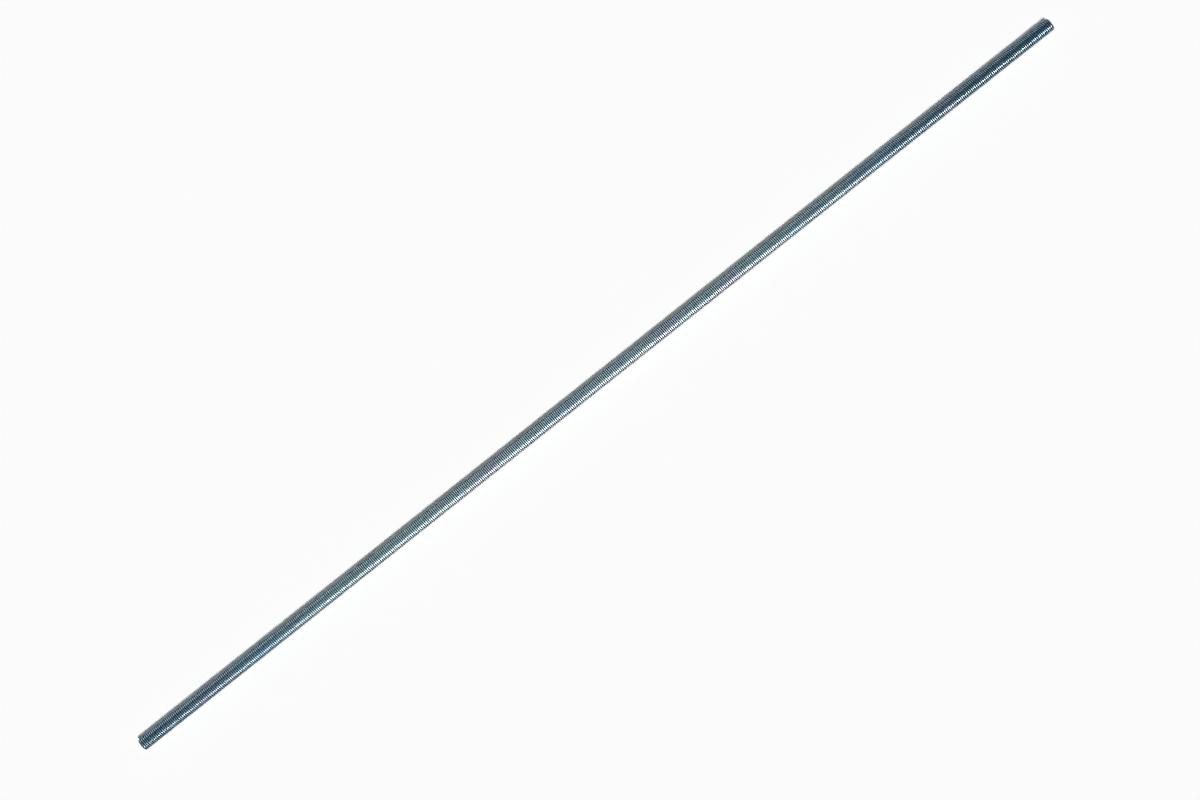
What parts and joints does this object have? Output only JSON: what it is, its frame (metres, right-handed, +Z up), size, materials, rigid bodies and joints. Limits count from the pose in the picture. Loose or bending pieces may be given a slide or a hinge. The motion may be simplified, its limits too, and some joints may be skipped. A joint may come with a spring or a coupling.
{
  "type": "threaded rod",
  "caption": "Straight round steel rod with a right-hand screw thread along its whole length, for nuts, couplers, anchors and hangers to run on.",
  "frame": {"origin": "the middle of the rod's length, on its axis", "axes": "+X runs along the rod's axis, towards the end that points to the picture's upper right; +Z is up, towards the camera; +Y is the side that faces the picture's upper left"},
  "size_m": [1, 0.012, 0.012],
  "materials": {
    "zinc_plated_steel": "bright zinc plating with a faint blue passivate over a rolled steel thread, semi-gloss, with fine marks from rolling"
  },
  "bodies": {
    "root": {"threaded_rod": "zinc_plated_steel"}
  },
  "joints": []
}
